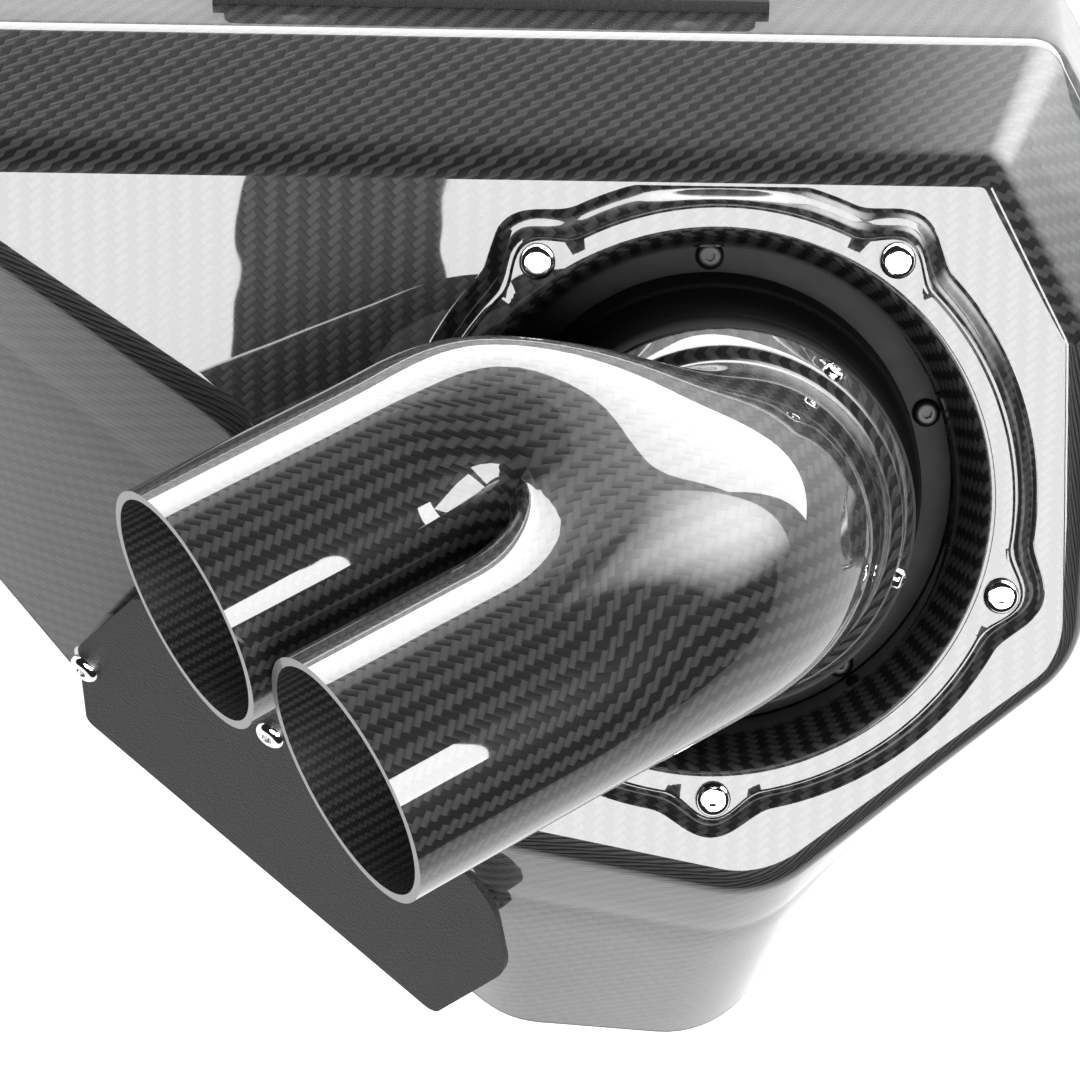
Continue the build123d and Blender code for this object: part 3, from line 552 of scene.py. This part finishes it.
def makeInletBoss():
    work = bmesh.new()
    uvLayer = work.loops.layers.uv.new("cloth")
    across, rise = inletBoss["middle"]
    rings = []
    for along, radius in inletBoss["profile"]:
        ring = []
        for k in range(inletBoss["steps"]):
            turn = 2 * pi * k / inletBoss["steps"]
            place = (along * mm, across + radius * mm * cos(turn), rise + radius * mm * sin(turn))
            ring.append(work.verts.new(place))
        rings.append(ring)
    for low, high in zip(rings, rings[1:] + rings[:1]):
        bridge(work, low, high)
    bmesh.ops.recalc_face_normals(work, faces=work.faces)
    for face in work.faces:
        start = min(atan2(v.co.z - rise, v.co.y - across) for v in face.verts)
        for loop in face.loops:
            place = loop.vert.co
            turn = atan2(place.z - rise, place.y - across)
            if turn - start > pi:
                turn -= 2 * pi
            loop[uvLayer].uv = (turn * inletBoss["clothRadius"], place.x)
    return linkPiece("inletBoss", asMesh(work, "inletBoss", 50), muffler, [carbonLaid])


makeShell()
makeInletBoss()
print("shell made")


twinElbow = {
    "foot": 146.2 * mm,
    "bendRadius": 80.1 * mm,
    "bendAngle": 65.8,
    "crotchAngle": 55.0,          # how far up the bend the two tubes part
    "ductRadius": 40.5 * mm,
    "tubeRadius": 31.75 * mm,
    "nearLength": 59.2 * mm,      # straight stretch after the bend
    "farEnd": (-132.0, -12.0, 201.5),   # in mm, as the skirt's heights and radii are
    "farCrotch": 77.0 * mm,       # from the far tube's end back to where the tubes part
    "farRise": 52 * mm,           # how strongly the far side leaves upwards, and arrives along the tube
    "farPull": 52 * mm,
    "farLift": 3 * mm,            # height of its arch over the straight way
    "heading": (-0.828, -0.381, 0.410),
    "stations": [0.09, 0.26, 0.44, 0.62, 0.80, 1.0],
    "lean": 0.35,                 # how much the last ring turns to the tubes' heading
    "crease": 0.93,               # height of the duct's middle line where the tubes part
    "web": [0.52, 0.0, -0.52],    # points across the web, as shares of its half height
    "webRun": 13.5 * mm,
    "mouth": [1 * mm, 14 * mm],   # first rings of a tube, from the end of the bend
    "lip": 1.2 * mm,
    "skirt": [(138.05, 49.3), (138.6, 49.05), (144.9, 46.2), (145.7, 45.6), (146.3, 43.6), (147.6, 41.6)],
    "skirtRun": 1.5 * mm,
    "wall": 2.25 * mm,
    "detail": 3,
}


def makeTwinElbow():
    # one duct that parts into two tubes, made as a coarse cage and then subdivided
    look = twinElbow
    heading = Vector(look["heading"]).normalized()
    flat = Vector((heading.x, heading.y, 0)).normalized()
    up = Vector((0, 0, 1))
    foot = Vector((0, 0, look["foot"]))
    farEnd = Vector(look["farEnd"]) * mm
    bend = look["bendRadius"]

    def nearPlace(angle):
        turn = radians(min(angle, look["bendAngle"]))
        place = foot + up * bend * sin(turn) + flat * bend * (1 - cos(turn))
        return place, flat * sin(turn) + up * cos(turn)

    nearBend = nearPlace(look["bendAngle"])[0]
    farBend = farEnd - heading * (farEnd - nearBend).dot(heading)
    across = (nearBend - farBend).normalized()
    lift = heading.cross(across)
    if lift.z < 0:
        lift = -lift
    farParting = farEnd - heading * look["farCrotch"]

    def farPlace(share):
        s, q = share, 1 - share
        place = foot * (1 + 2 * s) * q * q + up * look["farRise"] * s * q * q
        place += farParting * s * s * (3 - 2 * s) - heading * look["farPull"] * s * s * q
        return place + lift * look["farLift"] * 4 * s * q

    work = bmesh.new()
    uvLayer = work.loops.layers.uv.new("cloth")
    seat = work.verts.new
    # a subdivided cage shrinks, so its rings are drawn larger by these shares
    swell16 = 3 / (2 + cos(2 * pi / 16))
    swell12 = 3 / (2 + cos(2 * pi / 12))

    def distances(ring):
        values = [0.0]
        for i, vert in enumerate(ring):
            values.append(values[-1] + (ring[(i + 1) % len(ring)].co - vert.co).length)
        return values

    def course(low, high, lowRun, highRun, seamAt):
        # the faces between two rings, their cloth measured round from the seam that seamAt names
        lowAt, highAt = distances(low), distances(high)
        for k in range(len(low)):
            after, seam = k + 1, seamAt(k)
            wrapped = after % len(low)
            face = work.faces.new((low[k], low[wrapped], high[wrapped], high[k]))
            cloth = [(lowAt[k] - lowAt[seam], lowRun), (lowAt[after] - lowAt[seam], lowRun),
                     (highAt[after] - highAt[seam], highRun), (highAt[k] - highAt[seam], highRun)]
            for loop, place in zip(face.loops, cloth):
                loop[uvLayer].uv = place

    # skirt and foot: plain circles, their first point on the top side of the duct
    startTurn = atan2(lift.y, lift.x)
    bodyRings, bodyRuns, run = [], [], 0.0
    spin = 1 if (-lift.y * across.x + lift.x * across.y) > 0 else -1
    for height, radius in look["skirt"]:
        ring = []
        for k in range(16):
            turn = startTurn + spin * 2 * pi * k / 16
            reach = radius * mm * swell16
            ring.append(seat(Vector((reach * cos(turn), reach * sin(turn), height * mm))))
        bodyRings.append(ring)
        bodyRuns.append(run)
        run += look["skirtRun"]
    # the duct: points 0 and 8 stand on its middle line, 1 to 7 go round the near side, 9 to 15 the far one
    lastMiddle = foot
    sideways = startTurn + spin * pi / 2
    flatAcross = Vector((cos(sideways), sin(sideways), 0))
    for share in look["stations"]:
        angle = look["crotchAngle"] * share
        near, nearHeading = nearPlace(angle)
        far = farPlace(share)
        radius = mix(look["ductRadius"], look["tubeRadius"], ease(angle / look["bendAngle"]))
        forward = nearHeading.lerp(heading, look["lean"] * share).normalized()
        wide = flatAcross.lerp(across, ease(share))
        wide = (wide - forward * wide.dot(forward)).normalized()
        tall = forward.cross(wide)
        if tall.dot(lift) < 0:
            tall = -tall
        middle = (near + far) / 2
        dip = mix(1.0, look["crease"], ease((share - 0.5) * 2))
        reach = radius * mix(swell16, swell12, share)
        ring = []
        for k in range(16):
            if k in (0, 8):
                sign = 1 if k == 0 else -1
                ring.append(seat(middle + tall * radius * sign * dip * swell16))
                continue
            even = 90 - 22.5 * k
            parted = 120 - 30 * k if k < 8 else 180 - 30 * k
            turn = radians(mix(even, parted, share))
            centre = near if k < 8 else far
            ring.append(seat(centre + wide * reach * cos(turn) + tall * reach * sin(turn)))
        run += (middle - lastMiddle).length
        lastMiddle = middle
        bodyRings.append(ring)
        bodyRuns.append(run)
    for n in range(len(bodyRings) - 1):
        course(bodyRings[n], bodyRings[n + 1], bodyRuns[n], bodyRuns[n + 1], lambda k: 0 if k < 8 else 16)
    # the web between the tubes, then each tube on its own
    parting = bodyRings[-1]
    webMiddle = (parting[0].co + parting[8].co) / 2
    rise = parting[0].co - webMiddle
    web = [seat(webMiddle + rise * share) for share in look["web"]]
    legs = [
        # first ring, where the straight tube starts, its length, bearing of its first point, seam
        (parting[:9] + web[::-1], nearBend, look["nearLength"], 120, 0),
        (parting[8:] + parting[:1] + web, farBend, (farEnd - farBend).length, -60, 8),
    ]
    tubeReach = look["tubeRadius"] * swell12
    for low, start, length, firstTurn, seam in legs:
        lowRun, last = bodyRuns[-1], None
        for along in look["mouth"] + [length * 0.6, length - look["lip"], length]:
            centre = start + heading * along
            turns = [radians(firstTurn - 30 * k) for k in range(12)]
            high = [seat(centre + across * tubeReach * cos(t) + lift * tubeReach * sin(t)) for t in turns]
            highRun = lowRun + (look["webRun"] if last is None else (centre - last).length)
            course(low, high, lowRun, highRun, lambda k: seam)
            low, lowRun, last = high, highRun, centre
    bmesh.ops.recalc_face_normals(work, faces=work.faces)
    finishes = [carbonLaid, carbonInside, cutEdge]
    piece = linkPiece("twinElbow", asMesh(work, "twinElbow"), muffler, finishes, ["outlet_elbow"])
    smooth = piece.modifiers.new("smooth", "SUBSURF")
    smooth.levels = smooth.render_levels = look["detail"]
    wall = piece.modifiers.new("wall", "SOLIDIFY")
    wall.thickness = look["wall"]
    wall.offset = -1
    wall.material_offset = 1       # inside
    wall.material_offset_rim = 2   # cut ends
    settle(piece, 50)
    return piece


makeTwinElbow()
print("twin elbow made")


outletRing = {
    # growth of the lobed outline and depth below the ring's top, up the flange's edge
    "flange": [(0.0, 2.0), (0.0, 0.9), (-0.25, 0.35), (-0.8, 0.0)],
    # radius and depth: rolled lip, funnel, seat, and back up the outside
    "funnel": [(73.6, 0.0), (72.6, 0.12), (71.7, 0.5), (70.9, 1.3), (70.3, 2.4), (69.6, 4.2), (68.2, 9.0),
               (66.6, 14.5), (65.5, 18.6), (65.8, 20.0), (65.8, 35.4), (64.8, 35.6), (50.2, 35.6),
               (50.2, 38.0), (67.6, 38.0), (68.2, 37.4), (68.2, 20.0), (74.2, 2.6), (74.4, 2.0)],
    "clothRadius": 68 * mm,
}


def makeOutletRing():
    # lobed flange, rolled lip and funnel, turned as one skin
    work = bmesh.new()
    uvLayer = work.loops.layers.uv.new("cloth")
    rings = []
    for growth, drop in outletRing["flange"]:
        rings.append(polarRing(work, lambda t: lobedRadius(t, growth * mm), ringTop - drop * mm))
    for radius, drop in outletRing["funnel"]:
        rings.append(polarRing(work, lambda t: radius * mm, ringTop - drop * mm))
    for low, high in zip(rings, rings[1:] + rings[:1]):
        bridge(work, low, high)
    bmesh.ops.recalc_face_normals(work, faces=work.faces)
    for face in work.faces:
        level = abs(face.normal.z) > 0.75
        middle = face.calc_center_median()
        turn = atan2(middle.y, middle.x)
        for loop in face.loops:
            place = loop.vert.co
            if level:
                loop[uvLayer].uv = (place.x, place.y)
            else:
                off = atan2(place.y, place.x) - turn
                off = (off + pi) % (2 * pi) - pi
                loop[uvLayer].uv = ((turn + off) * outletRing["clothRadius"], place.z)
    mesh = asMesh(work, "outletRing", 32)
    return linkPiece("outletRing", mesh, muffler, [carbonLaid], ["outlet_ring"])


makeOutletRing()
print("outlet ring made")


retainingSpring = {
    "ring": 4.0 * mm,        # radius of a hook, at the middle of its wire
    "wire": 1.1 * mm,        # radius of the wire
    "coil": 4.35 * mm,
    "coilGap": 0.55 * mm,
    "turns": 17,
    "runIn": 0.6,            # turns over which the wire opens out from a hook to the coil
    "hookSweep": 342,
    "hookSteps": 30,
    "pointsPerTurn": 22,
    "sides": 10,
}


def wireAlong(name, points, radius, sides, body, nodes):
    work = bmesh.new()
    turns = [2 * pi * k / sides for k in range(sides)]
    headings = []
    for i in range(len(points)):
        ahead, behind = points[min(i + 1, len(points) - 1)], points[max(i - 1, 0)]
        headings.append((ahead - behind).normalized())
    outward = headings[0].orthogonal().normalized()
    rings = []
    for place, heading in zip(points, headings):
        outward = (outward - heading * outward.dot(heading)).normalized()
        other = heading.cross(outward)
        spots = [place + outward * radius * cos(t) + other * radius * sin(t) for t in turns]
        rings.append([work.verts.new(spot) for spot in spots])
    for low, high in zip(rings, rings[1:]):
        bridge(work, low, high)
    work.faces.new(rings[0])
    work.faces.new(list(reversed(rings[-1])))
    bmesh.ops.recalc_face_normals(work, faces=work.faces)
    return linkPiece(name, asMesh(work, name, 50), body, [springWire], nodes)


def makeSpring(body):
    # one wire: hook, coil and hook, the hooks in the upright plane
    look = retainingSpring
    low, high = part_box(body)
    middle = Vector((0, (low[1] + high[1]) / 2, (low[2] + high[2]) / 2))
    firstRing = low[0] + look["ring"] + look["wire"]
    lastRing = high[0] - look["ring"] - look["wire"]
    coilStart = firstRing + look["ring"] + look["coilGap"] + look["wire"]
    coilEnd = lastRing - look["ring"] - look["coilGap"] - look["wire"]

    def hook(centre, start):
        steps = look["hookSteps"]
        turns = [radians(start + look["hookSweep"] * k / steps) for k in range(steps + 1)]
        return [middle + Vector((centre + look["ring"] * cos(t), 0, look["ring"] * sin(t))) for t in turns]

    points = hook(firstRing, 360 - look["hookSweep"])
    total = look["turns"] * look["pointsPerTurn"]
    for k in range(1, total):
        share = k / total
        spread = min(1.0, min(share, 1 - share) * look["turns"] / look["runIn"])
        turn = 2 * pi * look["turns"] * share
        reach = look["coil"] * ease(spread)
        start, end = firstRing + look["ring"], lastRing - look["ring"]
        along = mix(mix(start, end, share), mix(coilStart, coilEnd, share), ease(spread))
        points.append(middle + Vector((along, reach * sin(turn), reach * cos(turn))))
    points += hook(lastRing, 180)
    name = "wire" + body.replace("_", " ").title().replace(" ", "")
    return wireAlong(name, points, look["wire"], look["sides"], body, [body])


makeSpring("spring_left")
makeSpring("spring_right")
print("springs made")


# every CAD node gets its finish, the hidden ones too
nodeFinish = {
    "base_plate": carbonMatt, "base_gasket": rubber, "base_screws": stainless,
    "outlet_ring": carbonFlat, "ring_gasket": rubber, "ring_screws": polished, "ring_inserts": brass,
    "neck_collar": blackMould, "neck_screws": blackOxide, "outlet_elbow": carbonFlat,
    "elbow_screws": polished, "outlet_riser": stainless, "front_baffle": stainless,
    "rear_baffle": stainless, "perforated_core": stainless, "packing_wool": glassWool,
    "inlet_gasket": gasketSheet, "inlet_flange": stainless, "inlet_screws": polished,
    "inlet_pipe": stainless, "hook_tab_left": stainless, "hook_tab_right": stainless,
    "spring_left": springWire, "spring_right": springWire, "mount_bracket": powderCoat,
    "bracket_screws": polished, "bracket_nuts": stainless, "mount_grommets": rubber,
    "mount_sleeves": stainless, "heat_shield": powderCoat, "shield_standoffs": stainless,
    "shield_screws": polished, "body_shell": carbonFlat,
}
for node, finish in nodeFinish.items():
    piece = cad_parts[node]
    piece.data.materials.clear()
    piece.data.materials.append(finish)
print("CAD nodes finished")


studio = {
    "floor": (0.22, 0.22, 0.22),
    "floorGlow": 0.85,
    "floorHalf": 40.0,
    "floorHeight": -0.0003,
    "world": (0.02, 0.02, 0.02),
    "lens": 123.3,
    "eye": (-0.0655, 0.1741, 1.0654),
    "aim": (-0.0456, -0.0098, 0.1184),
    "roll": 1.0,
}
lamps = {
    # name: place, aim, size, watts, roll, fading out to its edges
    "overheadRight": ((0.46, -0.42, 1.60), (0.46, -0.42, 0.0), (1.07, 1.00), 58.0, 0.0, False),
    "overheadLeft": ((-0.613, -0.20, 1.60), (-0.613, -0.20, 0.0), (0.80, 0.90), 38.0, 0.0, False),
    "window": ((0.885, 0.0, 1.29), (-0.067, -0.03, 0.266), (0.58, 0.13), 5.0, 23.0, False),
    "lowPanel": ((-0.10, 0.65, 0.015), (-0.10, 0.64, 1.0), (1.40, 0.80), 42.0, 0.0, False),
    "backRight": ((0.95, 1.10, 0.30), (0.0, 0.0, 0.20), (2.00, 1.20), 110.0, 0.0, True),
}


def makeFloor():
    half, height = studio["floorHalf"], studio["floorHeight"]
    corners = [(-half, -half, height), (half, -half, height), (half, half, height), (-half, half, height)]
    mesh = bpy.data.meshes.new("studioFloor")
    mesh.from_pydata(corners, [], [(0, 1, 2, 3)])
    floor = bpy.data.objects.new("studioFloor", mesh)
    bpy.context.scene.collection.objects.link(floor)
    shader = Shader("studioPaper")
    shader.set(base=studio["floor"], rough=0.9, specular=0.0)
    shader.skin.inputs["Emission Color"].default_value = (1, 1, 1, 1)
    shader.skin.inputs["Emission Strength"].default_value = studio["floorGlow"]
    mesh.materials.append(shader.material)


def aimAt(item, place, target):
    item.location = place
    item.rotation_euler = (Vector(target) - Vector(place)).to_track_quat("-Z", "Y").to_euler()


def fadeOut(lamp):
    # brightest in the middle, nothing at the rim
    lamp.use_nodes = True
    tree = lamp.node_tree
    emission = tree.nodes["Emission"]
    spread = tree.nodes.new("ShaderNodeNewGeometry")
    parts = tree.nodes.new("ShaderNodeSeparateXYZ")
    tree.links.new(spread.outputs["Parametric"], parts.inputs[0])
    waves = []
    for axis in (0, 1):
        turn = tree.nodes.new("ShaderNodeMath")
        turn.operation = "MULTIPLY"
        turn.inputs[1].default_value = pi
        tree.links.new(parts.outputs[axis], turn.inputs[0])
        wave = tree.nodes.new("ShaderNodeMath")
        wave.operation = "SINE"
        tree.links.new(turn.outputs[0], wave.inputs[0])
        waves.append(wave)
    both = tree.nodes.new("ShaderNodeMath")
    both.operation = "MULTIPLY"
    tree.links.new(waves[0].outputs[0], both.inputs[0])
    tree.links.new(waves[1].outputs[0], both.inputs[1])
    tree.links.new(both.outputs[0], emission.inputs["Strength"])


def makeLights():
    for name, (place, target, size, watts, roll, fading) in lamps.items():
        lamp = bpy.data.lights.new(name, "AREA")
        lamp.shape = "RECTANGLE"
        lamp.size, lamp.size_y = size
        lamp.energy = watts
        item = bpy.data.objects.new(name, lamp)
        bpy.context.scene.collection.objects.link(item)
        aimAt(item, place, target)
        item.rotation_euler.rotate_axis("Z", radians(roll))
        if fading:
            fadeOut(lamp)
    world = bpy.data.worlds.new("studioWorld")
    world.use_nodes = True
    world.node_tree.nodes["Background"].inputs[0].default_value = (*studio["world"], 1)
    bpy.context.scene.world = world


def makeCamera():
    eye, aim = Vector(studio["eye"]), Vector(studio["aim"])
    back = (eye - aim).normalized()
    right = Vector((0, 1, 0)).cross(back).normalized()
    up = back.cross(right)
    turn = Matrix((right, up, back)).transposed().to_4x4()
    camera = bpy.data.cameras.new("studioCamera")
    camera.lens = studio["lens"]
    camera.sensor_width = 36
    camera.clip_end = 50
    item = bpy.data.objects.new("studioCamera", camera)
    bpy.context.scene.collection.objects.link(item)
    item.matrix_world = Matrix.Translation(eye) @ turn @ Matrix.Rotation(radians(studio["roll"]), 4, "Z")
    bpy.context.scene.camera = item


makeFloor()
makeLights()
makeCamera()
bpy.context.scene.view_settings.view_transform = "Standard"
print("stage, lights and camera set")
